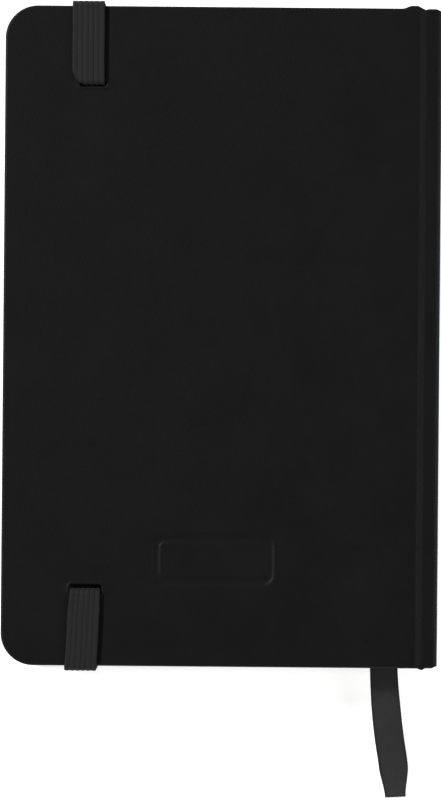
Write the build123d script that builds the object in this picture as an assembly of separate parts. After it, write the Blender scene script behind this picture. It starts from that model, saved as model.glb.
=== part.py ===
from build123d import *
import os
from math import radians, tan

# A pocket notebook lying on its front cover. +X is the spine, +Y the head, +Z the back cover.
# The origin is on the surface it lies on, under the middle of the covers. All sizes are in mm.

os.makedirs("parts", exist_ok=True)

# Covers
COVER_WIDTH = 94.0  # fore-edge to the face of the spine
COVER_LENGTH = 142.0  # tail to head
FORE_CORNER = 7.0  # radius of the two fore-edge corners
SKIN = 0.4  # the leather-like cover material
BOARD = 1.9
TURN_IN = 12.0  # how far the skin is folded over the inner face of a board
TURN_IN_DEPTH = 0.3
ENDPAPER = 0.15
PASTEDOWN_MARGIN = 2.2

# Spine and its two hinge grooves
SPINE_EDGE = COVER_WIDTH / 2
BOARD_EDGE = 42.0  # spine side of each board
HINGE_X = 44.2  # line that a cover turns about, in the middle of its groove
GROOVE_DEPTH = 0.8
LIP_EDGE = 45.5  # where the spine's skin comes down into the groove
SPINE_STRIP = 0.8
SPINE_ROLL = 1.2  # outer radius of the spine's two long edges
SPINE_DROP = 0.5  # how far the spine lies below each cover's outer face

# Text block
SIGNATURES = 10
SIGNATURE = 0.74  # a folded section of eight leaves
SQUARE = 2.5  # how far the covers stand out past the leaves
LEAF_CORNER = 6.0
FOLD_RADIUS = 0.3
LEAF_GAP = 0.05
MOVING_GAP = 0.1
RIBBON_AFTER = 5  # the ribbon lies on this section
RIBBON_GAP = 0.5
MULL = 0.2  # the cloth glued down the back of the sections
MULL_CLEAR = 6.0
THREAD_RADIUS = 0.15
STATIONS = (-54.0, -42.0, -6.0, 6.0, 42.0, 54.0)  # holes that the sections are sewn through

# Pocket inside the back cover
POCKET_CARD = 0.35
POCKET_DEPTH = 0.5  # room for the folded gussets
POCKET_SPINE = 36.0
POCKET_LENGTH = 132.0
GUSSET_WIDTH = 6.0
GUSSET_FOLD = 0.4

# Elastic closure
ELASTIC = 0.8
ELASTIC_WIDTH = 6.9
ELASTIC_X = -28.9  # middle of the band at the head
BAND_X = -29.3  # middle of the run across the front cover
ELASTIC_GAP = 0.05
ARM_GAP = 0.3  # between the arms and the cover's head and tail edges
HEAD_SLOT = 54.2
TAIL_SLOT = -54.7
SLOT_LENGTH = 7.5
SLOT_WIDTH = 1.2
TAIL_SLACK = 0.5  # the tail slot is pulled this much wider, towards the middle
GLUED_LENGTH = 13.0
TAIL_LEAN = 3.0  # degrees, of the band's tail end towards the fore-edge

# Blank frame pressed into the back cover
PANEL_X = -1.5
PANEL_Y = -48.0
PANEL_SIZE = (26.0, 10.6)
PANEL_LINE = 1.6
PANEL_CORNER = 2.4
PANEL_DEPTH = 0.15

# Ribbon marker
RIBBON_WIDTH = 6.0
RIBBON = 0.3
RIBBON_GLUED = 22.0
ARC_SHARE = 0.45  # how much of the shorter run an arc takes

# Levels, from the surface upwards
FRONT_OUTER = ELASTIC + ELASTIC_GAP
FRONT_INNER = FRONT_OUTER + SKIN + BOARD + ENDPAPER
FRONT_FLYLEAF = FRONT_INNER + MOVING_GAP
LEVELS = []
level = FRONT_FLYLEAF + ENDPAPER + LEAF_GAP
for number in range(1, SIGNATURES + 1):
    LEVELS.append(level)
    level += SIGNATURE + (RIBBON_GAP if number == RIBBON_AFTER else LEAF_GAP)
BACK_FLYLEAF = level
POCKET_LEVEL = BACK_FLYLEAF + ENDPAPER + MOVING_GAP
GUSSET_LEVEL = POCKET_LEVEL + POCKET_CARD + LEAF_GAP
BACK_INNER = GUSSET_LEVEL + POCKET_DEPTH
BACK_OUTER = BACK_INNER + ENDPAPER + BOARD + SKIN

# Route of the ribbon's middle: between the leaves from head to tail, out, down and along
RIBBON_LEVEL = LEVELS[RIBBON_AFTER - 1] + SIGNATURE + RIBBON_GAP / 2
RIBBON_ROUTE = (
    (41.0, 69.0, RIBBON_LEVEL),
    (35.7, -70.0, RIBBON_LEVEL),
    (36.4, -78.0, 6.9),
    (37.6, -86.8, 2.4),
    (38.7, -94.4, 0.5),
    (39.7, -101.5, 0.2),
)

FORE_EDGE = -COVER_WIDTH / 2
HALF_LENGTH = COVER_LENGTH / 2
LEAF_FORE = FORE_EDGE + SQUARE
LEAF_HALF = HALF_LENGTH - SQUARE


def sheet(x_fore, x_spine, half_length, z_low, thickness, fore_radius):
    """A flat sheet from the fore-edge side to the spine side, with its fore-edge corners rounded."""
    outline = Pos((x_fore + x_spine) / 2, 0) * Rectangle(x_spine - x_fore, 2 * half_length)
    outline = fillet(outline.vertices().group_by(Axis.X)[0], fore_radius)
    return Pos(0, 0, z_low) * extrude(outline, thickness)


def block(x_range, y_range, z_range):
    """A box between two values on each axis."""
    size = [high - low for low, high in (x_range, y_range, z_range)]
    middle = [(high + low) / 2 for low, high in (x_range, y_range, z_range)]
    return Pos(*middle) * Box(*size)


def depth_range(outer, inward, start, stop):
    """The heights of a layer that lies start to stop deep, counted inward from an outer face."""
    return sorted((outer + inward * start, outer + inward * stop))


def cover(outer, inward):
    """Board, skin and pastedown of one cover: outer is its outer face, inward is 1 or -1."""
    inset = FORE_EDGE + SKIN
    board_low, board_high = depth_range(outer, inward, SKIN, SKIN + BOARD)
    board_half = HALF_LENGTH - SKIN
    board_radius = FORE_CORNER - SKIN
    board = sheet(inset, BOARD_EDGE, board_half, board_low, BOARD, board_radius)
    fold_low, fold_high = depth_range(outer, inward, SKIN + BOARD - TURN_IN_DEPTH, SKIN + BOARD)
    inner_fore = inset + TURN_IN
    inner_half = board_half - TURN_IN
    ledge = sheet(inset, BOARD_EDGE, board_half, fold_low, TURN_IN_DEPTH, board_radius)
    ledge -= block((inner_fore, BOARD_EDGE + 1), (-inner_half, inner_half), (fold_low, fold_high))
    board -= ledge

    wrap_low, wrap_high = depth_range(outer, inward, 0, SKIN + BOARD)
    wrap_edge = BOARD_EDGE + SKIN
    skin = sheet(FORE_EDGE, wrap_edge, HALF_LENGTH, wrap_low, wrap_high - wrap_low, FORE_CORNER)
    skin -= sheet(inset, BOARD_EDGE, board_half, board_low, BOARD, board_radius)
    low, high = depth_range(outer, inward, GROOVE_DEPTH + SKIN, SKIN + BOARD)
    skin -= block((BOARD_EDGE - 1, wrap_edge + 1), (-board_half, board_half), (low, high))
    skin += ledge

    paper_low, _ = depth_range(outer, inward, SKIN + BOARD, SKIN + BOARD + ENDPAPER)
    paper_fore = FORE_EDGE + PASTEDOWN_MARGIN
    paper_half = HALF_LENGTH - PASTEDOWN_MARGIN
    paper_radius = FORE_CORNER - PASTEDOWN_MARGIN / 2
    pastedown = sheet(paper_fore, BOARD_EDGE, paper_half, paper_low, ENDPAPER, paper_radius)
    return board, skin, pastedown


def groove_skin(outer, inward):
    """The strip of skin at the bottom of a hinge groove, between a board and the spine."""
    low, high = depth_range(outer, inward, GROOVE_DEPTH, GROOVE_DEPTH + SKIN)
    x_range = (BOARD_EDGE + SKIN + MOVING_GAP, LIP_EDGE)
    return block(x_range, (-HALF_LENGTH, HALF_LENGTH), (low, high))


def spine():
    """The card strip of the spine, and the skin that wraps it and turns into both grooves."""
    low, high = FRONT_OUTER + SPINE_DROP, BACK_OUTER - SPINE_DROP
    outline = Pos((LIP_EDGE + SPINE_EDGE) / 2, (low + high) / 2)
    outline *= Rectangle(SPINE_EDGE - LIP_EDGE, high - low)
    outline = fillet(outline.vertices().group_by(Axis.X)[-1], SPINE_ROLL)
    shell = extrude(Plane.XZ * outline, HALF_LENGTH, both=True)
    strip_x = (SPINE_EDGE - SKIN - SPINE_STRIP, SPINE_EDGE - SKIN)
    past_ends = (-HALF_LENGTH - 1, HALF_LENGTH + 1)
    hollow = block((LIP_EDGE - 1, strip_x[1]), past_ends, (low + SKIN, high - SKIN))
    wall_ends = (low + SKIN + GROOVE_DEPTH, high - SKIN - GROOVE_DEPTH)
    strip = block(strip_x, (-HALF_LENGTH + SKIN, HALF_LENGTH - SKIN), wall_ends)
    return strip, shell - hollow


def signature(z_low):
    """A folded section: its fore-edge corners are round, and its fold is at the spine."""
    section = sheet(LEAF_FORE, HINGE_X, LEAF_HALF, z_low, SIGNATURE, LEAF_CORNER)
    fold = section.faces().sort_by(Axis.X)[-1].edges().filter_by(Axis.Y)
    return fillet(fold, FOLD_RADIUS)


def sewing_thread():
    """One thread up and down across the folds, from one sewing hole to the next."""
    x = HINGE_X + THREAD_RADIUS + 0.01
    ends = (LEVELS[1] + SIGNATURE / 2, LEVELS[-2] + SIGNATURE / 2)
    corners = []
    for index, y in enumerate(STATIONS):
        first, last = ends if index % 2 == 0 else ends[::-1]
        corners += [(x, y, first), (x, y, last)]
    thread = Pos(*corners[0]) * Sphere(THREAD_RADIUS)
    for start, stop in zip(corners, corners[1:]):
        run = Edge.make_line(start, stop)
        thread += sweep(Plane(start, z_dir=run % 0) * Circle(THREAD_RADIUS), path=run)
        thread += Pos(*stop) * Sphere(THREAD_RADIUS)
    return thread


def pressed_frame(surface):
    """A blank frame of one broad line, cut PANEL_DEPTH into the given surface."""
    width, height = PANEL_SIZE
    outline = RectangleRounded(width, height, PANEL_CORNER)
    outline -= RectangleRounded(width - 2 * PANEL_LINE, height - 2 * PANEL_LINE, PANEL_CORNER / 2)
    return Pos(PANEL_X, PANEL_Y, surface - PANEL_DEPTH) * extrude(outline, 2 * PANEL_DEPTH)


def slot(y, side, slack):
    """The hole through the back board and its skin for one end of the elastic: side is 1 at the head."""
    z_range = (BACK_OUTER - SKIN - BOARD - 1, BACK_OUTER + 1)
    y_range = sorted((y + side * SLOT_WIDTH / 2, y - side * (SLOT_WIDTH / 2 + slack)))
    half = SLOT_LENGTH / 2
    return block((ELASTIC_X - half, ELASTIC_X + half), y_range, z_range)


def glued_bed(y, side):
    """The hollow in the board's inner face that holds the glued end: side is 1 at the head."""
    inner = BACK_OUTER - SKIN - BOARD
    y_range = sorted((y + side * SLOT_WIDTH / 2, y - side * (GLUED_LENGTH + LEAF_GAP)))
    half = SLOT_LENGTH / 2
    return block((ELASTIC_X - half, ELASTIC_X + half), y_range, (inner - 1, inner + ELASTIC))


def elastic_end(y, side, lean=0.0):
    """One end of the elastic: glued inside the board, up through its slot and out to the edge."""
    half = ELASTIC_WIDTH / 2
    inner = BACK_OUTER - SKIN - BOARD
    top = BACK_OUTER + ELASTIC_GAP
    wall = sorted((y - side * ELASTIC / 2, y + side * ELASTIC / 2))
    x_range = (ELASTIC_X - half, ELASTIC_X + half)
    strip = block(x_range, wall, (inner, top + ELASTIC))
    strip += block(x_range, sorted((y, y - side * GLUED_LENGTH)), (inner, inner + ELASTIC))
    edge = side * (HALF_LENGTH + ARM_GAP - LEAF_GAP)
    near = y - side * ELASTIC / 2
    shift = abs(edge - near) * tan(radians(lean))
    outline = Polyline(
        (ELASTIC_X - half, near),
        (ELASTIC_X + half, near),
        (ELASTIC_X + half - shift, edge),
        (ELASTIC_X - half - shift, edge),
        close=True,
    )
    return strip + Pos(0, 0, top) * extrude(make_face(outline), ELASTIC, dir=(0, 0, 1))


def elastic_loop():
    """The free part of the elastic: down past the head edge, across the front, up at the tail."""
    outer = HALF_LENGTH + ARM_GAP + ELASTIC
    high = BACK_OUTER + ELASTIC_GAP + ELASTIC
    outline = Pos(0, high / 2) * Rectangle(2 * outer, high)
    outline = fillet(outline.vertices().group_by(Axis.Y)[0], ELASTIC + ELASTIC_GAP)
    outline -= Pos(0, ELASTIC + high / 2) * Rectangle(2 * (outer - ELASTIC), high)
    loop = extrude(Plane.YZ * outline, ELASTIC_WIDTH / 2, both=True)
    return Pos(BAND_X, 0, 0) * loop


def ribbon_marker():
    """The ribbon along its route: straight runs joined by tangent arcs, one flat section."""
    points = [Vector(*point) for point in RIBBON_ROUTE]
    runs = [after - before for before, after in zip(points, points[1:])]
    radii = []
    for before, after in zip(runs, runs[1:]):
        shorter = min(before.length, after.length)
        radii.append(ARC_SHARE * shorter / tan(radians(before.get_angle(after)) / 2))
    print("ribbon arcs, mm:", [round(radius, 1) for radius in radii])
    path = FilletPolyline(*points, radius=radii)
    across = (path % 0).cross(Vector(0, 0, 1))
    section = Plane(path @ 0, x_dir=across, z_dir=path % 0) * Rectangle(RIBBON_WIDTH, RIBBON)
    marker = sweep(section, path=path)
    expected = path.length * RIBBON_WIDTH * RIBBON
    print("ribbon length and volumes:", path.length, marker.volume, expected)
    return marker


def gusset(side):
    """The folded side of the pocket at the head (side 1) or tail (side -1)."""
    outer = side * POCKET_LENGTH / 2
    y_range = sorted((outer, outer - side * GUSSET_WIDTH))
    x_range = (LEAF_FORE + LEAF_CORNER, POCKET_SPINE)
    return block(x_range, y_range, (GUSSET_LEVEL, GUSSET_LEVEL + GUSSET_FOLD))


pieces = {}
front = cover(FRONT_OUTER, 1)
pieces["front_board"], pieces["front_cover_skin"], pieces["front_pastedown"] = front
back_board, back_skin, back_pastedown = cover(BACK_OUTER, -1)
for y, side, slack in ((HEAD_SLOT, 1, 0.0), (TAIL_SLOT, -1, TAIL_SLACK)):
    back_board -= slot(y, side, slack) + glued_bed(y, side)
    back_skin -= slot(y, side, slack)
pieces["back_board"] = back_board
pieces["back_cover_skin"] = back_skin - pressed_frame(BACK_OUTER)
pieces["back_pastedown"] = back_pastedown

pieces["spine_strip"], pieces["spine_skin"] = spine()
pieces["front_hinge_skin"] = groove_skin(FRONT_OUTER, 1)
pieces["back_hinge_skin"] = groove_skin(BACK_OUTER, -1)

for number, z_low in enumerate(LEVELS, start=1):
    pieces[f"signature_{number:02d}"] = signature(z_low)
for name, z_low in (("front_flyleaf", FRONT_FLYLEAF), ("back_flyleaf", BACK_FLYLEAF)):
    pieces[name] = sheet(LEAF_FORE, HINGE_X, LEAF_HALF, z_low, ENDPAPER, LEAF_CORNER)
pieces["sewing_thread"] = sewing_thread()
mull_x = HINGE_X + 2 * THREAD_RADIUS + LEAF_GAP
mull_z = (LEVELS[1], LEVELS[-2] + SIGNATURE)
mull_half = LEAF_HALF - MULL_CLEAR
pieces["spine_lining"] = block((mull_x, mull_x + MULL), (-mull_half, mull_half), mull_z)

ribbon_x = mull_x + MULL + LEAF_GAP
ribbon_z = (LEVELS[0] + LEVELS[-1] + SIGNATURE) / 2
glued_z = (ribbon_z - RIBBON_WIDTH / 2, ribbon_z + RIBBON_WIDTH / 2)
glued_y = (LEAF_HALF - MULL_CLEAR - RIBBON_GLUED, LEAF_HALF)
pieces["ribbon_glued_end"] = block((ribbon_x, ribbon_x + RIBBON), glued_y, glued_z)
pieces["ribbon_marker"] = ribbon_marker()

pocket_fore = LEAF_FORE + LEAF_GAP
pocket_radius = LEAF_CORNER - LEAF_GAP
pieces["pocket_panel"] = sheet(
    pocket_fore, POCKET_SPINE, POCKET_LENGTH / 2, POCKET_LEVEL, POCKET_CARD, pocket_radius
)
pieces["pocket_gusset_head"] = gusset(1)
pieces["pocket_gusset_tail"] = gusset(-1)

pieces["elastic_head_anchor"] = elastic_end(HEAD_SLOT, 1)
pieces["elastic_tail_anchor"] = elastic_end(TAIL_SLOT, -1, TAIL_LEAN)
pieces["elastic_band"] = elastic_loop()

print("levels, mm:", round(FRONT_OUTER, 3), round(FRONT_INNER, 3), [round(z, 3) for z in LEVELS])
print("back, mm:", round(POCKET_LEVEL, 3), round(BACK_INNER, 3), round(BACK_OUTER, 3))
for name, piece in pieces.items():
    export_step(piece, f"parts/{name}.step")
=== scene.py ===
import math
import bpy
import numpy as np
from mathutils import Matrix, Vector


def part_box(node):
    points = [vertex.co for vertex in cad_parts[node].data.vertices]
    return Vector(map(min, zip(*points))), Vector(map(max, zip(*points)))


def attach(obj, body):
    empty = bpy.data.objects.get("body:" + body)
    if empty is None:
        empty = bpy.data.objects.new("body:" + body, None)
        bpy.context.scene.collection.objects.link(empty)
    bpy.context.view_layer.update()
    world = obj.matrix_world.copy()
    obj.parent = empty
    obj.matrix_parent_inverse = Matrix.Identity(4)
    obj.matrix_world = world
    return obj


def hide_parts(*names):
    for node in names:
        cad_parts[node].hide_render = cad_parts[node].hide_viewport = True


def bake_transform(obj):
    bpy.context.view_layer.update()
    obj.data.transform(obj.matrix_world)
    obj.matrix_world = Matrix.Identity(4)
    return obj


# A pocket notebook lying on its front cover: +X is the spine, +Y the head, +Z the back cover.

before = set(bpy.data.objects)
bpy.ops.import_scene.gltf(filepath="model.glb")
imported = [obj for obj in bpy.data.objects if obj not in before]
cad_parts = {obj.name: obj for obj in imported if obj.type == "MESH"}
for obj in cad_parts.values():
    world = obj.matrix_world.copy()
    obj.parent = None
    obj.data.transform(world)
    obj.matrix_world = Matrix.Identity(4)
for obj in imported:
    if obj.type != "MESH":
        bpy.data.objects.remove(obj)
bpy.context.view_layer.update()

MM = 0.001


# ---------------------------------------------------------------- places, from the frame

def corners(node):
    """The lowest and highest corners of a CAD node, as arrays."""
    return [np.array(corner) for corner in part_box(node)]


back_low, back_high = corners("back_cover_skin")
spine_high = corners("spine_skin")[1]
leaf_low, leaf_high = corners("signature_05")
band_low, band_high = corners("elastic_band")

FORE = back_low[0]  # the covers' fore-edge
BACK = back_high[2]  # outer face of the back cover
FRONT = corners("front_cover_skin")[0][2]  # outer face of the front cover
MIDDLE = (BACK + FRONT) / 2
BOARD_DEPTH = BACK - back_low[2]  # from the outer face of a cover to its inner face
BOARD_EDGE = corners("back_board")[1][0]
GROOVE_DEPTH = BACK - corners("back_hinge_skin")[1][2]
SPINE = spine_high[0]
STRIP_INNER = corners("spine_strip")[0][0]
LEAF_FORE = leaf_low[0]
LEAF_HALF = leaf_high[1]
FOLD_X = leaf_high[0]
BAND_WIDTH = band_high[0] - band_low[0]
RIBS = 6  # cords side by side in the elastic
GLUED_LENGTH = 13.0 * MM  # of each end of the elastic, inside the board
HEAD_SLOT = corners("elastic_head_anchor")[0][1] + GLUED_LENGTH
TAIL_SLOT = corners("elastic_tail_anchor")[1][1] - GLUED_LENGTH
FORE_CORNER = 7.0 * MM
LEAF_CORNER = 6.0 * MM


# ---------------------------------------------------------------- shapes

def lines(*stretches):
    """Grid lines in metres, from stretches given as (start, stop, step) in millimetres."""
    parts = [np.linspace(a, b, max(2, int(round((b - a) / step)) + 1)) for a, b, step in stretches]
    return np.unique(np.round(np.concatenate(parts), 6)) * MM


def rounded(points, radii, step=0.15 * MM):
    """A line of straight runs in a plane, with each inner corner turned on an arc of its radius.

    The arc's middle is on the corner's half-angle line, at radius / sin(half the corner's angle).
    """
    points = np.array(points, float)
    out = [points[:1]]
    for before, corner, after, radius in zip(points, points[1:], points[2:], radii):
        one, two = before - corner, after - corner
        one, two = one / np.linalg.norm(one), two / np.linalg.norm(two)
        half = math.acos(np.clip(one @ two, -1, 1)) / 2
        middle = corner + (one + two) / np.linalg.norm(one + two) * radius / math.sin(half)
        start = corner + one * radius / math.tan(half) - middle
        turn = math.pi - 2 * half
        side = np.sign(start[1] * one[0] - start[0] * one[1])
        angle = side * np.linspace(0, turn, max(4, int(radius * turn / step) + 2))
        cos, sin = np.cos(angle), np.sin(angle)
        arc = np.stack([start[0] * cos - start[1] * sin, start[0] * sin + start[1] * cos], 1)
        out.append(middle + arc)
    out.append(points[-1:])
    return np.concatenate(out)


def measured(points):
    """The distance along a line of points, starting at 0."""
    steps = np.linalg.norm(np.diff(points, axis=0), axis=1)
    return np.concatenate([[0.0], np.cumsum(steps)])


def along(points):
    """place(a) for a plane line: the point at distance a, and the unit normal on its left."""
    reach = measured(points)
    keep = np.concatenate([[True], np.diff(reach) > 1e-9])
    points, reach = points[keep], reach[keep]
    slope = np.gradient(points, reach, axis=0)
    slope /= np.linalg.norm(slope, axis=1)[:, None]
    normal = np.stack([-slope[:, 1], slope[:, 0]], 1)

    def place(a):
        spot = np.stack([np.interp(a, reach, points[:, k]) for k in (0, 1)], -1)
        over = np.minimum(a - reach[0], 0) + np.maximum(a - reach[-1], 0)
        end = np.where((a < reach[0])[..., None], slope[0], slope[-1])
        spot = spot + over[..., None] * end
        side = np.stack([np.interp(a, reach, normal[:, k]) for k in (0, 1)], -1)
        return spot, side / np.linalg.norm(side, axis=-1, keepdims=True)

    return place, reach[-1]


def border(index):
    """The vertex numbers round the edge of a two-way array, in order."""
    return np.concatenate([index[:, 0], index[-1, 1:], index[-2::-1, -1], index[0, -2:0:-1]])


def grid_faces(index):
    """Quads over a two-way array of vertex numbers."""
    quads = (index[:-1, :-1], index[1:, :-1], index[1:, 1:], index[:-1, 1:])
    return np.stack(quads, -1).reshape(-1, 4)


def outward(verts, faces):
    """The faces, turned round if the closed surface they make is inside out."""
    a, b, c, d = (verts[faces[:, k]] for k in range(4))
    volume = np.einsum("ij,ij->", np.cross(a, b), c) + np.einsum("ij,ij->", np.cross(a, c), d)
    return faces if volume > 0 else faces[:, ::-1]


LAST_LINE = 0.2 * MM  # grid lines stop this short of a sheet's end
RIM_SHARE = 0.6  # the edge attribute where a face meets its edge
SHARP_ANGLE = math.radians(55)


def smooth(low, high, x):
    """0 below low, 1 above high, and an S between them."""
    t = np.clip((x - low) / (high - low), 0, 1)
    return t * t * (3 - 2 * t)


def slab(place, a_lines, b_lines, depth, roll, radii, relief=None, push=None, open_end=False):
    """A closed sheet over a grid of a, the distance along a line, and b, the height up +Y.

    place(a) gives the outer face's point and inward unit direction, and depth(a) the thickness.
    A corner of radius r maps its square to a quarter disc: p * sqrt(1 - q * q / 2), and q alike.
    The edge is two quarter turns of radius roll with a flat between them. relief(a, b) is how far
    the outer face is pressed in, and push(a, b) how far the edge stands out.
    """
    first, last, top = a_lines[0], a_lines[-1], b_lines[-1]
    a = np.clip(a_lines, first + roll, last if open_end else last - roll)
    a, b = np.meshgrid(a, np.clip(b_lines, -top + roll, top - roll), indexing="ij")
    out_a, out_b = np.zeros_like(a), np.zeros_like(b)
    out_a[0], out_a[-1] = -1, 0 if open_end else 1
    out_b[:, 0], out_b[:, -1] = -1, 1
    for end, sign, radius in ((first + roll, -1, radii[0]), (last - roll, 1, radii[1])):
        if radius:
            r = radius - roll
            p = (sign * (a - end) + r) / r
            q = (np.abs(b) - (top - roll - r)) / r
            inside = (p > 1e-6) & (q > 1e-6)
            bent_p = p * np.sqrt(np.maximum(1 - q * q / 2, 0))
            bent_q = q * np.sqrt(np.maximum(1 - p * p / 2, 0))
            side = np.sign(b)
            a = np.where(inside, end - sign * r + sign * r * bent_p, a)
            b = np.where(inside, side * (top - roll - r + r * bent_q), b)
            rim = inside & ((out_a != 0) | (out_b != 0))
            out_a = np.where(rim, sign * bent_p, out_a)
            out_b = np.where(rim, side * bent_q, out_b)
    number = np.arange(a.size).reshape(a.shape)
    ring = border(number)
    ring_a, ring_b = a.ravel()[ring], b.ravel()[ring]
    ring_out = np.stack([out_a.ravel()[ring], out_b.ravel()[ring]], 1)
    stand = push(ring_a, ring_b) if push else np.zeros(len(ring))

    turn = np.linspace(0, math.pi / 2, 5)
    shift = np.concatenate([np.sin(turn), np.sin(turn[::-1])])[1:-1]
    drop_out = roll * (1 - np.cos(turn))[1:]
    drop_in = roll * (1 - np.cos(turn[::-1]))[:-1]
    thick = depth(ring_a)
    rows = [np.full(len(ring), d) for d in drop_out] + [thick - d for d in drop_in]

    press = relief(a, b) if relief else np.zeros(a.shape)
    sunk = press.ravel()[ring]
    coords = [(a.ravel(), b.ravel(), press.ravel())]
    for reach, row in zip(shift, rows):
        away = roll * reach + stand * reach
        fade = 1 - smooth(0, 1, row / thick)
        coords.append((ring_a + ring_out[:, 0] * away, ring_b + ring_out[:, 1] * away, row + sunk * fade))
    coords.append((a.ravel(), b.ravel(), depth(a.ravel())))
    a_all, b_all, h_all = (np.concatenate([c[k] for c in coords]) for k in range(3))
    spot, inward = place(a_all)
    flat = spot + inward * h_all[:, None]
    verts = np.stack([flat[:, 0], b_all, flat[:, 1]], 1)

    faces = [grid_faces(number)]
    count, size = a.size, len(ring)
    previous = ring
    for row in range(len(rows)):
        current = count + row * size + np.arange(size)
        faces.append(strip_faces(previous, current))
        previous = current
    inner = count + len(rows) * size + number
    faces.append(strip_faces(previous, inner.ravel()[ring]))
    faces.append(grid_faces(inner)[:, ::-1])
    faces = np.concatenate(faces)
    edge = np.zeros(len(verts))
    edge[ring] = RIM_SHARE
    edge[count:count + len(rows) * size] = 1.0
    lay = np.stack([a_all, b_all, h_all], 1)
    return verts, outward(verts, faces), lay, edge


def strip_faces(one, two):
    """Quads between two closed rings of vertex numbers."""
    return np.stack([one, np.roll(one, -1), np.roll(two, -1), two], 1)[:, ::-1]


def carried(points, across, up, section, widths):
    """A closed section carried along a path, with both ends shut: point + across * width * x + up * y.

    The section's x runs from -0.5 to 0.5 along its lower side, and back along its upper side.
    """
    count, size = len(points), len(section)
    x, y = section[:, 0], section[:, 1]
    verts = points[:, None] + across[:, None] * (widths[:, None] * x)[..., None]
    verts = (verts + up[:, None] * y[None, :, None]).reshape(-1, 3)
    number = np.arange(count * size).reshape(count, size)
    closed = np.concatenate([number, number[:, :1]], 1)
    half = size // 2
    caps = []
    for ring, flip in ((number[0], False), (number[-1], True)):
        lower, upper = ring[:half], ring[half:][::-1]
        cap = np.stack([lower[:-1], lower[1:], upper[1:], upper[:-1]], 1)
        caps.append(cap[:, ::-1] if flip else cap)
    faces = np.concatenate([grid_faces(closed)] + caps)
    reach = measured(points)
    lay = np.stack([np.repeat(reach, size), (widths[:, None] * x).ravel(), np.tile(y, count)], 1)
    edge = np.abs(np.tile(2 * x, count)) ** 8
    return verts, outward(verts, faces), lay, edge


def piece(name, parts, material):
    """One object from closed parts, each (points, quads, lay, edge), with both kept as attributes."""
    verts, faces, lays, edges, base = [], [], [], [], 0
    for points, quads, lay, edge in parts:
        verts.append(points)
        faces.append(quads + base)
        lays.append(lay)
        edges.append(edge)
        base += len(points)
    verts, faces = np.concatenate(verts), np.concatenate(faces)
    mesh = bpy.data.meshes.new(name)
    mesh.from_pydata(verts, [], faces)
    mesh.update()
    lay = mesh.attributes.new("lay", "FLOAT_VECTOR", "POINT")
    lay.data.foreach_set("vector", np.concatenate(lays).astype(np.float32).ravel())
    edge = mesh.attributes.new("edge", "FLOAT", "POINT")
    edge.data.foreach_set("value", np.concatenate(edges).astype(np.float32))
    mesh.polygons.foreach_set("use_smooth", np.ones(len(faces), bool))
    mesh.set_sharp_from_angle(angle=SHARP_ANGLE)
    mesh.materials.append(material)
    made = bpy.data.objects.new(name, mesh)
    bpy.context.scene.collection.objects.link(made)
    return made


# ---------------------------------------------------------------- shader maths

class Number:
    """A number that varies over a surface: a node's output that Python's operators work on."""

    def __init__(self, tree, socket):
        self.tree = tree
        self.socket = socket

    def math(self, operation, *terms):
        node = self.tree.nodes.new("ShaderNodeMath")
        node.operation = operation
        for socket, term in zip(node.inputs, terms):
            feed(self.tree, socket, term)
        return Number(self.tree, node.outputs[0])

    def __add__(self, other):
        return self.math("ADD", self, other)

    def __rsub__(self, other):
        return self.math("SUBTRACT", other, self)

    def __mul__(self, other):
        return self.math("MULTIPLY", self, other)

    __radd__ = __add__
    __rmul__ = __mul__

    def wave(self, length):
        """A sine of this number with the given wavelength, from 0 to 1."""
        return self.math("SINE", self * (2 * math.pi / length)) * 0.5 + 0.5

    def step(self, low, high):
        """0 below low, 1 above high, and an S between them."""
        node = self.tree.nodes.new("ShaderNodeMapRange")
        node.interpolation_type = "SMOOTHSTEP"
        for name, term in (("Value", self), ("From Min", low), ("From Max", high)):
            feed(self.tree, node.inputs[name], term)
        return Number(self.tree, node.outputs[0])


def feed(tree, socket, term):
    """Links a Number into a socket, or sets the socket to a plain value."""
    if isinstance(term, Number):
        tree.links.new(term.socket, socket)
    else:
        socket.default_value = term


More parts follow.
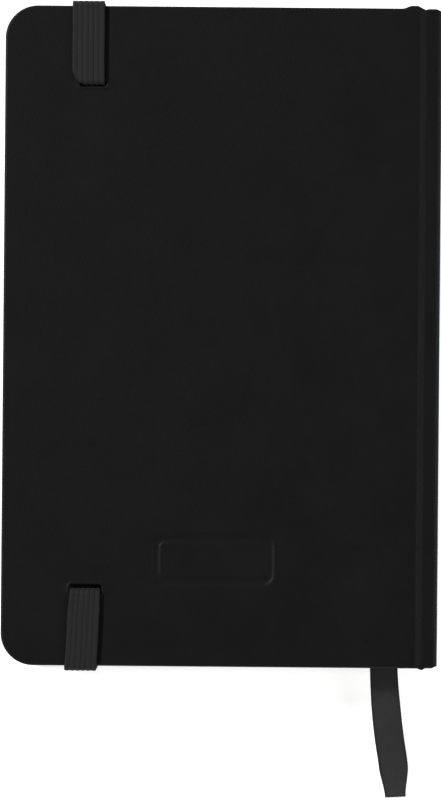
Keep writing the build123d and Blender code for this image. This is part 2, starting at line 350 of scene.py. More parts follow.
class Finish:
    """A material on a Principled surface, built from nodes."""

    def __init__(self, name, **fixed):
        self.material = bpy.data.materials.new(name)
        self.material.use_nodes = True
        self.tree = self.material.node_tree
        self.tree.nodes.clear()
        self.surface = self.tree.nodes.new("ShaderNodeBsdfPrincipled")
        output = self.tree.nodes.new("ShaderNodeOutputMaterial")
        self.tree.links.new(self.surface.outputs[0], output.inputs[0])
        for socket, value in fixed.items():
            self.surface.inputs[socket.replace("_", " ")].default_value = value

    def node(self, kind, settings=None, inputs=None, output=0):
        """One node: its settings are set first, then the values or links of its sockets."""
        made = self.tree.nodes.new("ShaderNode" + kind)
        for key, value in (settings or {}).items():
            setattr(made, key, value)
        for key, term in (inputs or {}).items():
            feed(self.tree, made.inputs[key], term)
        return Number(self.tree, made.outputs[output])

    def place(self):
        """The point's own coordinates, in metres."""
        return self.node("TexCoord", output="Object")

    def lay(self):
        """Where the point is on its sheet: distance along, distance across, and depth."""
        return self.node("Attribute", {"attribute_name": "lay"}, output="Vector")

    def edge(self):
        """1 on a piece's edge and 0 away from it."""
        return self.node("Attribute", {"attribute_name": "edge"}, output="Fac")

    def axes(self, vector):
        """The three numbers of a vector."""
        made = self.tree.nodes.new("ShaderNodeSeparateXYZ")
        feed(self.tree, made.inputs[0], vector)
        return [Number(self.tree, socket) for socket in made.outputs]

    def noise(self, vector, size, detail=2.0, rough=0.5):
        """Cloudy noise whose blotches are about size across, in metres."""
        inputs = {"Vector": vector, "Scale": 1 / size, "Detail": detail, "Roughness": rough}
        return self.node("TexNoise", None, inputs)

    def cells(self, vector, size):
        """The distance from the middle of rounded cells about size across."""
        return self.node("TexVoronoi", {"feature": "F1"}, {"Vector": vector, "Scale": 1 / size})

    def mix(self, share, one, two):
        """Colour one where share is 0, and colour two where it is 1."""
        inputs = {"Factor": share, 6: (*one, 1) if isinstance(one, tuple) else one}
        inputs[7] = (*two, 1) if isinstance(two, tuple) else two
        return self.node("Mix", {"data_type": "RGBA"}, inputs, 2)

    def finish(self, colour, rough, height=None, deep=None):
        """Feeds the surface: its colour, its roughness and a bump of the given depth in metres."""
        feed(self.tree, self.surface.inputs["Base Color"], colour)
        feed(self.tree, self.surface.inputs["Roughness"], rough)
        if height is not None:
            bump = self.node("Bump", None, {"Height": height, "Distance": deep, "Strength": 1.0})
            feed(self.tree, self.surface.inputs["Normal"], bump)
        return self.material


# ---------------------------------------------------------------- finishes

def cover_leather():
    """Near-black imitation leather: a fine pebble grain, cloudy sheen, and paler rubbed edges."""
    made = Finish("cover_leather", IOR=1.268)
    where = made.lay()
    pebble = made.cells(where, 0.42 * MM)
    fine = made.noise(where, 0.16 * MM, 3.0)
    cloud = made.noise(where, 14 * MM, 3.0)
    streak = made.noise(where, 2.6 * MM, 4.0)
    tone = cloud * 0.4 + streak * 0.3 + fine * 0.3
    colour = made.mix(tone.step(0.3, 0.72), (0.0029, 0.0029, 0.0030), (0.0048, 0.0048, 0.0049))
    colour = made.mix(made.edge() * streak * 0.5, colour, (0.012, 0.0119, 0.0117))
    rough = 0.49 + 0.1 * cloud + 0.1 * pebble
    height = (1 - pebble) * 0.6 + fine * 0.4 + streak * 0.5
    return made.finish(colour, rough, height, 0.035 * MM)


def elastic_cloth():
    """Black flat elastic: cords along its length, held by weft threads that dip between them, with painted
    shade in the valleys between the ribs.
    """
    made = Finish("elastic_cloth", IOR=1.32, Sheen_Weight=0.03, Sheen_Roughness=0.5)
    a, b, h = made.axes(made.lay())
    weft = (a + b.wave(BAND_WIDTH / RIBS) * 0.12 * MM).wave(0.3 * MM)
    thread = b.wave(BAND_WIDTH / RIBS / 4)
    fuzz = made.noise(made.lay(), 0.18 * MM, 4.0)
    cloud = made.noise(made.lay(), 3 * MM, 2.0)
    # painted shade: colour darker in the valleys between the ribs, lighter on their crests, by depth
    painted_rib_shade = h.math("ABSOLUTE", h).step(0.26 * MM, 0.38 * MM)
    tone = weft * 0.15 + thread * 0.1 + fuzz * 0.25 + cloud * 0.1 + painted_rib_shade * 0.4
    colour = made.mix(tone.step(0.2, 0.8), (0.0038, 0.0038, 0.0039), (0.0150, 0.0150, 0.0153))
    return made.finish(colour, 0.62 + 0.25 * fuzz, weft * 0.4 + thread * 0.3 + fuzz * 0.4, 0.04 * MM)


def ribbon_satin():
    """Dark grey satin ribbon: fine threads across it, a thicker selvedge and a soft sheen."""
    made = Finish("ribbon_satin", IOR=1.28, Sheen_Weight=0.04, Sheen_Roughness=0.4)
    a, b, _ = made.axes(made.lay())
    weft = a.wave(0.26 * MM)
    warp = b.wave(0.31 * MM)
    fuzz = made.noise(made.lay(), 0.22 * MM, 3.0)
    cloud = made.noise(made.lay(), 5 * MM, 2.0)
    tone = weft * 0.3 + warp * 0.15 + fuzz * 0.25 + cloud * 0.3
    colour = made.mix(tone.step(0.25, 0.75), (0.0206, 0.0206, 0.0210), (0.0420, 0.0420, 0.0427))
    colour = made.mix(made.edge() * 0.7, colour, (0.0065, 0.0065, 0.0067))
    return made.finish(colour, 0.56 + 0.2 * fuzz, weft * 0.6 + warp * 0.3 + fuzz * 0.3, 0.05 * MM)


def paper(name, light, dark):
    """Uncoated paper: faint fibres, a cloudy formation and a slightly darker cut edge."""
    made = Finish(name, IOR=1.4)
    formation = made.noise(made.lay(), 5 * MM, 3.0)
    fibre = made.noise(made.lay(), 0.3 * MM, 5.0, 0.65)
    colour = made.mix((formation * 0.5 + fibre * 0.5).step(0.25, 0.75), dark, light)
    colour = made.mix(made.edge() * 0.35, colour, tuple(0.72 * c for c in dark))
    return made.finish(colour, 0.82 + 0.1 * fibre, fibre * 0.7 + formation * 0.3, 0.03 * MM)


def cardboard(name, light, dark):
    """Grey board: pulp with darker and paler flecks."""
    made = Finish(name, IOR=1.4)
    where = made.place()
    pulp = made.noise(where, 0.6 * MM, 6.0, 0.7)
    fleck = made.cells(where, 1.1 * MM)
    colour = made.mix((pulp * 0.7 + fleck * 0.3).step(0.25, 0.7), dark, light)
    return made.finish(colour, 0.85 + 0.1 * pulp, pulp, 0.06 * MM)


def woven(name, light, dark, pitch, first, second):
    """Plain woven cloth: threads over and under each other along two of the point's axes.

    The weave is one * two + (1 - one) * (1 - two), where one and two are waves along the axes.
    """
    made = Finish(name, IOR=1.4, Sheen_Weight=0.2)
    spot = made.axes(made.place())
    one, two = spot[first].wave(pitch), spot[second].wave(pitch)
    weave = one * two + (1 - one) * (1 - two)
    fuzz = made.noise(made.place(), pitch / 2, 3.0)
    colour = made.mix((weave * 0.7 + fuzz * 0.3).step(0.15, 0.85), dark, light)
    return made.finish(colour, 0.8 + 0.1 * fuzz, weave + fuzz * 0.4, 0.08 * MM)


def sewing_cotton():
    """Waxed white thread: two plies twisted together."""
    made = Finish("sewing_cotton", IOR=1.45)
    x, y, z = made.axes(made.place())
    twist = (x + y + z).wave(0.35 * MM)
    fuzz = made.noise(made.place(), 0.1 * MM)
    colour = made.mix(twist * 0.7 + fuzz * 0.3, (0.52, 0.49, 0.43), (0.84, 0.81, 0.74))
    return made.finish(colour, 0.55 + 0.2 * fuzz, twist, 0.05 * MM)


def pale_floor():
    """A plain near-white sweep with the faintest unevenness."""
    made = Finish("pale_floor", IOR=1.2, Emission_Color=(1, 1, 1, 1), Emission_Strength=0.72)
    cloud = made.noise(made.place(), 60 * MM, 2.0)
    colour = made.mix(cloud, (0.86, 0.86, 0.86), (0.9, 0.9, 0.9))
    return made.finish(colour, 0.85 + 0.1 * cloud)


leather = cover_leather()
elastic_finish = elastic_cloth()
ribbon_finish = ribbon_satin()
leaf_paper = paper("leaf_paper", (0.84, 0.80, 0.70), (0.77, 0.73, 0.63))
end_paper = paper("end_paper", (0.80, 0.75, 0.64), (0.72, 0.67, 0.56))
pocket_card = paper("pocket_card", (0.80, 0.75, 0.64), (0.70, 0.65, 0.54))
greyboard = cardboard("greyboard", (0.42, 0.39, 0.34), (0.24, 0.22, 0.19))
spine_card = cardboard("spine_card", (0.50, 0.46, 0.39), (0.32, 0.29, 0.24))
mull = woven("mull", (0.72, 0.69, 0.60), (0.34, 0.32, 0.27), 0.6 * MM, 1, 2)
pocket_cloth = woven("pocket_cloth", (0.03, 0.03, 0.031), (0.012, 0.012, 0.012), 0.5 * MM, 0, 2)
cotton = sewing_cotton()


# ---------------------------------------------------------------- camera and light

VIEW_HEIGHT = 172.043 * MM  # how much of the back cover's plane the view's long side takes in
TARGET = (-0.1 * MM, -13.58 * MM)
TURN = math.radians(0.5)
LENS = 180.0
FLOOR_REACH = 6.0


def camera():
    """A long lens looking straight down at the back cover, turned a little."""
    data = bpy.data.cameras.new("camera")
    data.lens = LENS
    distance = VIEW_HEIGHT * data.lens / data.sensor_width
    data.clip_start, data.clip_end = 0.01, 50
    made = bpy.data.objects.new("camera", data)
    made.location = (*TARGET, BACK + distance)
    made.rotation_euler = (0, 0, TURN)
    bpy.context.scene.collection.objects.link(made)
    bpy.context.scene.camera = made


def softbox(name, azimuth, elevation, distance, size, power):
    """An area light on a sphere round the notebook, facing it."""
    data = bpy.data.lights.new(name, "AREA")
    data.shape, data.size, data.size_y = "RECTANGLE", size[0], size[1]
    data.energy = power
    made = bpy.data.objects.new(name, data)
    turn, rise = math.radians(azimuth), math.radians(elevation)
    flat = math.cos(rise)
    made.location = np.array([math.cos(turn) * flat, math.sin(turn) * flat, math.sin(rise)]) * distance
    made.rotation_euler = (math.pi / 2 - rise, 0, turn + math.pi / 2)
    made.visible_camera = False
    bpy.context.scene.collection.objects.link(made)


def studio():
    """A pale floor, three soft lights and an even pale surround."""
    softbox("key", azimuth=153, elevation=36, distance=1.4, size=(0.22, 0.22), power=20)
    softbox("side", azimuth=0, elevation=34, distance=1.0, size=(0.16, 0.7), power=3.6)
    softbox("fill", azimuth=-90, elevation=20, distance=1.2, size=(0.9, 0.2), power=3.5)
    world = bpy.data.worlds.new("surround")
    world.use_nodes = True
    surround = world.node_tree.nodes["Background"]
    surround.inputs["Color"].default_value = (1, 1, 1, 1)
    surround.inputs["Strength"].default_value = 0.06
    bpy.context.scene.world = world
    bpy.context.scene.view_settings.view_transform = "Standard"
    mesh = bpy.data.meshes.new("floor")
    square = [(x * FLOOR_REACH, y * FLOOR_REACH, 0) for x, y in ((-1, -1), (1, -1), (1, 1), (-1, 1))]
    mesh.from_pydata(square, [], [(0, 1, 2, 3)])
    mesh.materials.append(pale_floor())
    floor = bpy.data.objects.new("floor", mesh)
    bpy.context.scene.collection.objects.link(floor)


camera()
studio()


# ---------------------------------------------------------------- ribbon

RIBBON_LEVEL = 7.75 * MM
RIBBON_WIDTH = 6.0 * MM
RIBBON_THICK = 0.11 * MM  # half of it
SELVEDGE = 0.05 * MM  # how far each face stands up along the ribbon's two edges
LOOP_TURN = (-3.2 * MM, 3.4 * MM)  # where it turns, counted from the top of its loop
END_TWIST = math.radians(5)
# The middle of the ribbon: glued up the spine, over the head, between the leaves, out and down.
RIBBON_ROUTE = (
    (0.04495, 0.0465, RIBBON_LEVEL),
    (0.04495, 0.0660, RIBBON_LEVEL),
    (0.04490, 0.0694, RIBBON_LEVEL),
    (0.0430, 0.0698, RIBBON_LEVEL),
    (0.0412, 0.0693, RIBBON_LEVEL),
    (0.0409, 0.0655, RIBBON_LEVEL),
    (0.0361, -0.0600, RIBBON_LEVEL),
    (0.0357, -0.0700, RIBBON_LEVEL),
    (0.0362, -0.0780, 0.0069),
    (0.0373, -0.0868, 0.0026),
    (0.0384, -0.0928, 0.0007),
    (0.0387, -0.0968, 0.0007),
    (0.0389, -0.1001, 0.0009),
)


def smooth_line(route):
    """Points along the NURBS spline whose control points are the route."""
    data = bpy.data.curves.new("route", "CURVE")
    data.dimensions = "3D"
    spline = data.splines.new("NURBS")
    spline.points.add(len(route) - 1)
    for point, spot in zip(spline.points, route):
        point.co = (*spot, 1)
    spline.order_u = 3
    spline.use_endpoint_u = True
    spline.resolution_u = 24
    holder = bpy.data.objects.new("route", data)
    bpy.context.scene.collection.objects.link(holder)
    bpy.context.view_layer.update()
    mesh = bpy.data.meshes.new_from_object(holder)
    points = np.zeros(len(mesh.vertices) * 3)
    mesh.vertices.foreach_get("co", points)
    bpy.data.objects.remove(holder)
    bpy.data.meshes.remove(mesh)
    return points.reshape(-1, 3)


def quarter_turn(past_loop, past_end):
    """The ribbon's twist: a quarter turn less over its loop, and END_TWIST back at its free end."""
    return np.pi / 2 * (1 - smooth(*LOOP_TURN, past_loop)) - END_TWIST * smooth(-12 * MM, 0, past_end)


def ribbon_widths(past_loop, past_end):
    """The ribbon's width: folded narrow over the head, spread a little outside, narrow at its end.

    The fold is exp(-x ** 4) of the distance from the top of the loop, and the rest are S curves.
    """
    fold = 0.64 * np.exp(-(past_loop / (2.4 * MM)) ** 4)
    spread = 0.065 * smooth(-31 * MM, -17 * MM, past_end)
    return RIBBON_WIDTH * (1 - (fold + 0.31 * smooth(-7 * MM, 0, past_end) - spread))


def ribbon():
    """A flat ribbon on its smooth line, which lies on its side up the spine and flat from there on."""
    line = smooth_line(RIBBON_ROUTE)
    reach = measured(line)
    spots = np.linspace(0, reach[-1], 600)
    points = np.stack([np.interp(spots, reach, line[:, k]) for k in range(3)], 1)
    heading = np.gradient(points, spots, axis=0)
    heading /= np.linalg.norm(heading, axis=1)[:, None]
    flat = np.cross(heading, (0, 0, 1))
    flat /= np.linalg.norm(flat, axis=1)[:, None]
    rise = np.cross(flat, heading)
    past_loop, past_end = spots - spots[np.argmax(points[:, 1])], spots - spots[-1]
    twist = quarter_turn(past_loop, past_end)
    across = flat * np.cos(twist)[:, None] + rise * np.sin(twist)[:, None]
    up = np.cross(heading, across)
    side = np.linspace(-0.5, 0.5, 25)
    thick = RIBBON_THICK + SELVEDGE * np.abs(2 * side) ** 12
    section = np.concatenate([np.stack([side, -thick], 1), np.stack([side[::-1], thick], 1)])
    widths = ribbon_widths(past_loop, past_end)
    made = piece("ribbon", [carried(points, across, up, section, widths)], ribbon_finish)
    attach(made, "root")
    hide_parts("ribbon_marker", "ribbon_glued_end")


ribbon()


# ---------------------------------------------------------------- case: covers, grooves and spine

GROOVE_START = BOARD_EDGE + 0.1 * MM
GROOVE_FOOT = 43.7 * MM
GROOVE_END = 45.5 * MM
GROOVE_FLOOR = GROOVE_DEPTH - 0.15 * MM
SPINE_DIP = BACK - spine_high[2] + 0.2 * MM
SPINE_ROLL = 1.2 * MM
EDGE_ROLL = 0.5 * MM
GROOVE_ROLL = 1.2 * MM
GROOVE_LINING = 1.5 * MM  # inner face of the case at the groove, counted from the outer face
SPINE_LINING = 1.9 * MM  # and at the spine strip
HEAD_SLIT = ((-28.1 * MM, 54.25 * MM), (2.8 * MM, 0.5 * MM))
TAIL_SLIT = ((-28.8 * MM, -54.45 * MM), (3.3 * MM, 0.8 * MM))
SLIT_DEPTH = 1.7 * MM
SLIT_LIP = 0.15 * MM  # how far the skin stands up round a slit
PANEL = (-1.5 * MM, -48.0 * MM)
PANEL_HALF = (13.0 * MM, 5.3 * MM)
PANEL_LINE = 1.5 * MM
PANEL_DEPTH = 0.27 * MM
PANEL_RISE = 0.21 * MM  # how far the middle of the frame comes back up
PANEL_SLOPE = 0.22 * MM  # half the width of each side of the pressed line


def ripple(x, lengths, seed):
    """A gentle unevenness from -1 to 1: a sum of sines of the given lengths, shifted by a seed."""
    waves = [np.sin(2 * np.pi * x / length + seed * (k + 1.7)) for k, length in enumerate(lengths)]
    return sum(waves) / len(lengths)


def rounded_box(x, y, half, radius):
    """The distance outside a rounded rectangle, negative inside."""
    dx, dy = np.abs(x) - half[0] + radius, np.abs(y) - half[1] + radius
    far = np.hypot(np.maximum(dx, 0), np.maximum(dy, 0))
    return far + np.minimum(np.maximum(dx, dy), 0) - radius


def case_half(outer, inward):
    """Half of the case in section, fore-edge to the middle of the spine: place(a), depth(a) and length.

    The outer line is straight runs joined by arcs, and the inner one straight runs between matching
    points. The way in goes from the one to the other at the same share of the length.
    """
    def at(x, depth):
        return (x, outer + inward * depth)

    ends = abs(outer - MIDDLE)
    key_points = [at(FORE, 0), at(GROOVE_START, 0), at(GROOVE_FOOT, GROOVE_FLOOR),
                  at(SPINE, SPINE_DIP), at(SPINE, ends)]
    line = rounded(key_points, [GROOVE_ROLL, GROOVE_ROLL, SPINE_ROLL])
    place_outer, length = along(line)
    inner = [at(FORE, BOARD_DEPTH), at(BOARD_EDGE, BOARD_DEPTH), at(GROOVE_FOOT, GROOVE_LINING),
             at(STRIP_INNER, SPINE_LINING), at(STRIP_INNER, ends)]
    straight = measured(np.array(key_points))
    marks = straight * length / straight[-1]

    def way_in(a):
        spot, _ = place_outer(a)
        under = np.stack([np.interp(a, marks, [p[k] for p in inner]) for k in (0, 1)], -1)
        under[..., 0] += np.minimum(a, 0)
        return spot, under - spot

    def place(a):
        spot, way = way_in(a)
        return spot, way / np.linalg.norm(way, axis=-1, keepdims=True)

    def depth(a):
        return np.linalg.norm(way_in(a)[1], axis=-1)

    return place, depth, length


def soft_face(a, b, seed):
    """How unevenly the skin lies: ripples that are slight on the boards, and more in the groove."""
    groove = np.exp(-((a - (GROOVE_FOOT - FORE)) / (1.1 * MM)) ** 2)
    board = 0.022 * ripple(a + 0.4 * b, (31 * MM, 17 * MM), seed) * ripple(b, (43 * MM, 23 * MM), seed)
    crease = 0.05 * ripple(b, (37 * MM, 11.3 * MM, 5.9 * MM, 2.7 * MM), seed) * groove
    return (board + crease) * MM


def back_relief(a, b):
    """The back skin's relief: slits with a lip, a blank pressed frame, and the soft unevenness.

    Each is an S curve, or a bell for the lip, of the distance outside a rounded rectangle.
    """
    x = a + FORE
    press = soft_face(a, b, 0.6)
    for middle, half in (HEAD_SLIT, TAIL_SLIT):
        out = rounded_box(x - middle[0], b - middle[1], half, 0.45 * MM)
        press = press + SLIT_DEPTH * smooth(0.12 * MM, -0.1 * MM, out)
        press = press - SLIT_LIP * np.exp(-((out - 0.45 * MM) / (0.3 * MM)) ** 2) * (out > 0)
    outside = rounded_box(x - PANEL[0], b - PANEL[1], PANEL_HALF, 2.4 * MM)
    inner_half = (PANEL_HALF[0] - PANEL_LINE, PANEL_HALF[1] - PANEL_LINE)
    inside = rounded_box(x - PANEL[0], b - PANEL[1], inner_half, 1.2 * MM)
    press = press + PANEL_DEPTH * smooth(PANEL_SLOPE, -PANEL_SLOPE, outside)
    press = press - PANEL_RISE * smooth(PANEL_SLOPE, -PANEL_SLOPE, inside)
    return press


def pucker(a, b):
    """How far the skin stands out at head and tail: a fold at each end of the groove, rounded corners.

    Each fold is one S curve up along x times one down, the notch beside it is a bell, and the
    spine's corners draw in on an S curve.
    """
    x = a + FORE
    head = 0.62 * smooth(38.3 * MM, 40.4 * MM, x) * smooth(43.1 * MM, 41.4 * MM, x)
    head = head - 0.22 * np.exp(-((x - 43.4 * MM) / (0.35 * MM)) ** 2)
    tail = 0.33 * smooth(42.5 * MM, 43.4 * MM, x) * smooth(44.6 * MM, 43.8 * MM, x)
    corner = 0.38 * smooth(45.9 * MM, 47.2 * MM, x)
    return (np.where(b > 0, head, tail) - corner) * MM


def case(name, outer, inward, a_lines, b_lines, relief, push):
    """One half of the case, its skin shaped down into the groove between its cover and the spine."""
    place, depth, length = case_half(outer, inward)
    a_lines = np.unique(np.append(a_lines[a_lines < length - LAST_LINE], length))
    parts = [slab(place, a_lines, b_lines, depth, EDGE_ROLL, (FORE_CORNER, 0), relief, push, True)]
    made = piece(name, parts, leather)
    level = outer + inward * GROOVE_DEPTH
    start, end = (BOARD_EDGE + 0.4 * MM, 0, level), (GROOVE_END + 0.2 * MM, 0, level)
    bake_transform(made)
    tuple(start)
    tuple(end)
    return made


# Grid lines, close together where the surface turns quickly
CORNER_LINES = [(0, 7, 0.5), (7, 14, 2.0)]
GROOVE_LINES = [(88, 95.6, 0.18), (95.6, 104, 1.0)]
SLIT_LINES = [(14, 14.8, 0.1), (14.8, 21.4, 0.6), (21.4, 22.2, 0.1), (22.2, 31, 2.2)]
PANEL_LINES = [(31, 60, 0.25), (60, 84, 3.0), (84, 88, 0.4)]
TAIL_LINES = [(-71, -64, 0.5), (-64, -57, 1.4), (-57, -55.6, 0.2), (-55.6, -53.8, 0.1), (-53.8, -41.5, 0.25)]
HEAD_LINES = [(50.5, 53.2, 0.3), (53.2, 55.2, 0.1), (55.2, 57, 0.3), (57, 64, 1.4), (64, 71, 0.5)]
case_back = case(
    "case_back", BACK, -1,
    lines(*CORNER_LINES, *SLIT_LINES, *PANEL_LINES, *GROOVE_LINES),
    lines(*TAIL_LINES, (-41.5, 50.5, 4.6), *HEAD_LINES),
    back_relief, pucker)
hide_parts("back_cover_skin", "back_hinge_skin", "spine_skin")
case_front = case(
    "case_front", FRONT, 1,
    lines(*CORNER_LINES, (14, 88, 3.0), *GROOVE_LINES),
    lines((-71, -64, 0.5), (-64, 64, 2.0), (64, 71, 0.5)),
    lambda a, b: soft_face(a, b, 2.1), lambda a, b: 0.4 * pucker(a, b))
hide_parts("front_cover_skin", "front_hinge_skin")


# ---------------------------------------------------------------- elastic closure

ELASTIC_THICK = 0.8 * MM
ELASTIC_X = -28.9 * MM
SLOT_BEND, COVER_BEND, FRONT_BEND = 0.75 * MM, 0.95 * MM, 0.85 * MM
END_DEPTH = 1.5 * MM  # how far each end goes down into its slit
STRAP_LEAN = 0.85 * MM  # towards the fore-edge, at the tail
TUCK = (4.9 * MM, 3.2 * MM, 2.2 * MM)  # where the rolled corner ends, and its length and width
SOFT_TUCK = 0.5 * MM


def strap_path():
    """Distances along the strap from slit to slit, and its middle, outward direction and width there.

    Seen along x it is straight runs joined by arcs. It leans in a straight line of y, by STRAP_LEAN
    at the tail, and its width grows in an S away from the tail slit.
    """
    half = ELASTIC_THICK / 2
    over, side = band_high[2] - half, band_high[1] - half
    under, inside = band_low[2] + half, BACK - END_DEPTH
    head, tail = HEAD_SLOT + 0.15 * MM, TAIL_SLOT
    runs = [(head, inside), (head, over), (side, over), (side, under),
            (-side, under), (-side, over), (tail, over), (tail, inside)]
    bends = [SLOT_BEND, COVER_BEND, FRONT_BEND]
    line = rounded(runs, bends + bends[::-1], 0.12 * MM)
    place, length = along(line)
    spots = np.unique(np.concatenate([measured(line), np.linspace(0, length, 260)]))
    spot, normal = place(spots)
    y, z = spot[:, 0], spot[:, 1]
    lean = np.interp(y, [-72 * MM, TAIL_SLOT, 0], [-STRAP_LEAN, 0, 0]) * (z > MIDDLE)
    front = np.interp(y, [-72 * MM, 72 * MM], [-STRAP_LEAN, 0]) * (z <= MIDDLE)
    x = ELASTIC_X + lean + front - 0.2 * MM * (y > 0)
    at_side = np.abs(y) > side - 1.0 * MM
    x = np.where(at_side & (y < 0), ELASTIC_X - STRAP_LEAN, x)
    x = x - 0.05 * MM * smooth(over, under, z) + 0.06 * MM * ripple(spots, (33 * MM, 14 * MM), 0.4)
    near_slot = np.minimum(spots, length - spots)
    widths = BAND_WIDTH * np.where(y > 0, 1.01, 0.955 + 0.045 * smooth(1.5 * MM, 7 * MM, near_slot))
    up = np.stack([np.zeros(len(spots)), normal[:, 0], normal[:, 1]], 1)
    return spots, np.stack([x, y, z], 1), up, widths


def strap_section():
    """The strap's section: its thickness falls between the ribs as the root of |sin|, and at its edges."""
    share = np.linspace(0, 1, RIBS * 8 + 1)
    rib = np.abs(np.sin(np.pi * RIBS * share)) ** 0.5
    rib = np.where(np.abs(2 * share - 1) > 1 - 1 / RIBS, 1, rib)
    edge = np.sqrt(np.clip(1 - (np.abs(2 * share - 1)) ** 40, 0, 1))
    high = ELASTIC_THICK / 2 * (0.74 + 0.26 * rib) * (0.35 + 0.65 * edge)
    return np.concatenate([np.stack([share - 0.5, -high], 1), np.stack([0.5 - share, high[::-1]], 1)])


def elastic():
    """One ribbed strap: up out of the head slit, round the closed book and down into the tail slit.

    The corner beside the head slit is rolled under: its edge follows a quarter ellipse, and what
    would pass it is drawn in by an exponential that never crosses it.
    """
    spots, points, up, widths = strap_path()
    section = strap_section()
    across = np.tile([1.0, 0.0, 0.0], (len(points), 1))
    strap = carried(points, across, up, section, widths)
    tuck_end, tuck_length, tuck_width = TUCK
    tuck = tuck_width * (1 - np.sqrt(1 - ((tuck_end - spots) / tuck_length).clip(0, 1) ** 2))
    limit = np.repeat(points[:, 0] - widths / 2 + tuck, len(section))
    soft = np.repeat(np.minimum(tuck, SOFT_TUCK) + 1e-9, len(section))
    beyond = np.minimum(strap[0][:, 0] - limit - soft, 0)
    strap[0][:, 0] += soft * np.exp(beyond / soft) - soft - beyond
    made = piece("elastic_closure", [strap], elastic_finish)
    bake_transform(made)
    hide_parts("elastic_head_anchor", "elastic_tail_anchor", "elastic_band")


elastic()


# ---------------------------------------------------------------- leaves

PAPER = 0.086 * MM
SHEETS = 4
LOOSE = 0.05 * MM  # how far the sheets of a section are out of line
scatter = np.random.default_rng(7)


def folded_sheet(low, high, order, x_lines):
    """A sheet folded at the spine, order in from the outside: two leaves joined by a half circle."""
    step = (high - low) / (2 * SHEETS)
    bottom, top = low + (order + 0.5) * step, high - (order + 0.5) * step
    bend = FOLD_X - order * step - PAPER / 2
    radius = (top - bottom) / 2
    shift_x, shift_y = scatter.uniform(-LOOSE, LOOSE, 2)
    fore = LEAF_FORE + shift_x
    turn = np.linspace(-np.pi / 2, np.pi / 2, 9)
    arc = np.stack([bend - radius + radius * np.cos(turn), (top + bottom) / 2 + radius * np.sin(turn)], 1)
    line = np.concatenate([[(fore, bottom)], arc, [(fore, top)]])
    place_middle, length = along(line)

    def place(a):
        spot, normal = place_middle(a)
        return spot - normal * PAPER / 2, normal

    run = bend - radius - fore
    runs = x_lines[x_lines < run - LAST_LINE]
    bends = np.linspace(run, length - run, 7)
    a_lines = np.concatenate([runs, bends, length - runs[::-1]])
    b_lines = lines((-68.5, -62.5, 1.2), (-62.5, 62.5, 12.5), (62.5, 68.5, 1.2))
    part = slab(place, a_lines, b_lines, lambda a: np.full(a.shape, PAPER), PAPER / 2, (LEAF_CORNER,) * 2)
    part[0][:, 1] += shift_y
    return part


def section_of_leaves(number, body):
    """A sewn section of eight leaves. The first and the last are left where they are, with closer grid lines
    near the spine; the others go with the root.
    """
    node = f"signature_{number:02d}"
    low, high = corners(node)
    moving = body != "root"
    bending = [(6, 66, 10.0), (66, 89, 0.7)] if moving else [(6, 86, 20.0)]
    x_lines = lines((0, 6, 1.0), *bending)
    parts = [folded_sheet(low[2], high[2], order, x_lines) for order in range(SHEETS)]
    made = piece(f"leaves_{number:02d}", parts, leaf_paper)
    if moving:
        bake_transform(made)
    else:
        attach(made, "root")
    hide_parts(node)


for number in range(1, 11):
    section_of_leaves(number, {1: "front_leaves", 10: "back_leaves"}.get(number, "root"))


# ---------------------------------------------------------------- endpapers

ENDPAPER = 0.14 * MM
PASTED_CORNER = 5.9 * MM


def flat_sheet(level, thickness, x_range, half_length, corner, x_lines, b_lines):
    """A flat sheet from its fore-edge to its spine edge, its middle at the given height."""
    place_middle, length = along(np.array([(x_range[0], level), (x_range[1], level)]))

    def place(a):
        spot, normal = place_middle(a)
        return spot + normal * thickness / 2, -normal

    a_lines = np.unique(np.append(x_lines[x_lines < length - LAST_LINE], length))
    b_lines = b_lines * half_length / b_lines[-1]
    return slab(place, a_lines, b_lines, lambda a: np.full(a.shape, thickness), thickness / 2, (corner, 0))


def endpapers(side):
    """A pastedown, flat from the cover's fore-edge to the gutter, and its flyleaf as a second flat sheet."""
    low, high = corners(f"{side}_pastedown")
    level = (low[2] + high[2]) / 2
    x_lines = lines((0, 6, 0.8), (6, 83, 7.0), (83, 90, 0.25))
    b_lines = lines((-68.8, -62.8, 0.8), (-62.8, 62.8, 6.0), (62.8, 68.8, 0.8))
    reach = (low[0], FOLD_X - 0.1 * MM)
    part = flat_sheet(level, ENDPAPER, reach, high[1], PASTED_CORNER, x_lines, b_lines)
    pasted = piece(f"{side}_pastedown_sheet", [part], end_paper)
    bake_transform(pasted)
    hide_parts(f"{side}_pastedown")
    low, high = corners(f"{side}_flyleaf")
    level = (low[2] + high[2]) / 2
    x_lines = lines((0, 6, 0.8), (6, 66, 6.0), (66, 90, 0.6))
    part = flat_sheet(level, ENDPAPER, (LEAF_FORE, FOLD_X), LEAF_HALF, LEAF_CORNER, x_lines, b_lines)
    loose = piece(f"{side}_flyleaf_sheet", [part], end_paper)
    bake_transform(loose)
    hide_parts(f"{side}_flyleaf")


endpapers("front")
endpapers("back")


# ---------------------------------------------------------------- pocket

POCKET_CLOTH = 0.09 * MM


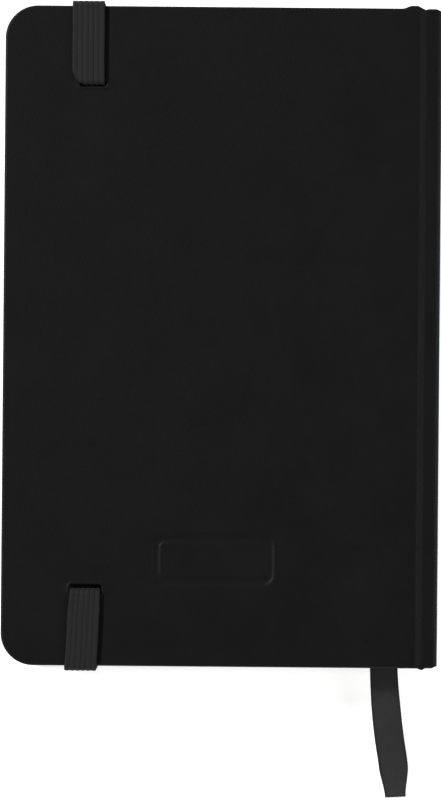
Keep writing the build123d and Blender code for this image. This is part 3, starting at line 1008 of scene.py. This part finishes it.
def pocket_panel():
    """The pocket's card panel."""
    low, high = corners("pocket_panel")
    x_lines = lines((0, 6, 0.8), (6, 83, 7.0))
    b_lines = lines((-66, -60, 0.8), (-60, 60, 6.0), (60, 66, 0.8))
    thickness = high[2] - low[2] - 0.02 * MM
    level = (low[2] + high[2]) / 2
    part = flat_sheet(level, thickness, (low[0], high[0]), high[1], PASTED_CORNER, x_lines, b_lines)
    panel = piece("pocket_front", [part], pocket_card)
    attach(panel, "pocket_panel")
    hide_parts("pocket_panel")


def pocket_side(end, sign):
    """A cloth side of the pocket: one fold inwards in the plane across it, carried along x."""
    low, high = corners(f"pocket_gusset_{end}")
    outer, inner = (high[1], low[1]) if sign > 0 else (low[1], high[1])
    fold = [(outer, low[2]), (inner, (low[2] + high[2]) / 2), (outer, high[2])]
    line = rounded(fold, [0.05 * MM], 0.02 * MM)
    place, length = along(line)
    spots = np.linspace(0, length, 40)
    spot, normal = place(spots)
    x, row = np.meshgrid(np.linspace(low[0], high[0], 60), np.arange(len(spots)), indexing="ij")
    layers = []
    for lift in (-POCKET_CLOTH / 2, POCKET_CLOTH / 2):
        y, z = spot[row, 0] + normal[row, 0] * lift, spot[row, 1] + normal[row, 1] * lift
        layers.append(np.stack([x, y, z], -1).reshape(-1, 3))
    number = np.arange(x.size).reshape(x.shape)
    ring = border(number)
    faces = np.concatenate([grid_faces(number), grid_faces(number + x.size)[:, ::-1],
                            strip_faces(ring, ring + x.size)])
    verts = np.concatenate(layers)
    part = (verts, outward(verts, faces), verts.copy(), np.zeros(len(verts)))
    gusset = piece(f"pocket_side_{end}", [part], pocket_cloth)
    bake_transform(gusset)
    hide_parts(f"pocket_gusset_{end}")


def pocket():
    """The pocket inside the back cover: a card panel, and a cloth side folded in at each end."""
    pocket_panel()
    pocket_side("head", 1)
    pocket_side("tail", -1)


pocket()


# ---------------------------------------------------------------- CAD pieces kept as they are

for node, finish in (("front_board", greyboard), ("back_board", greyboard), ("spine_strip", spine_card),
                     ("spine_lining", mull), ("sewing_thread", cotton)):
    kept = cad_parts[node]
    kept.data.materials.clear()
    kept.data.materials.append(finish)
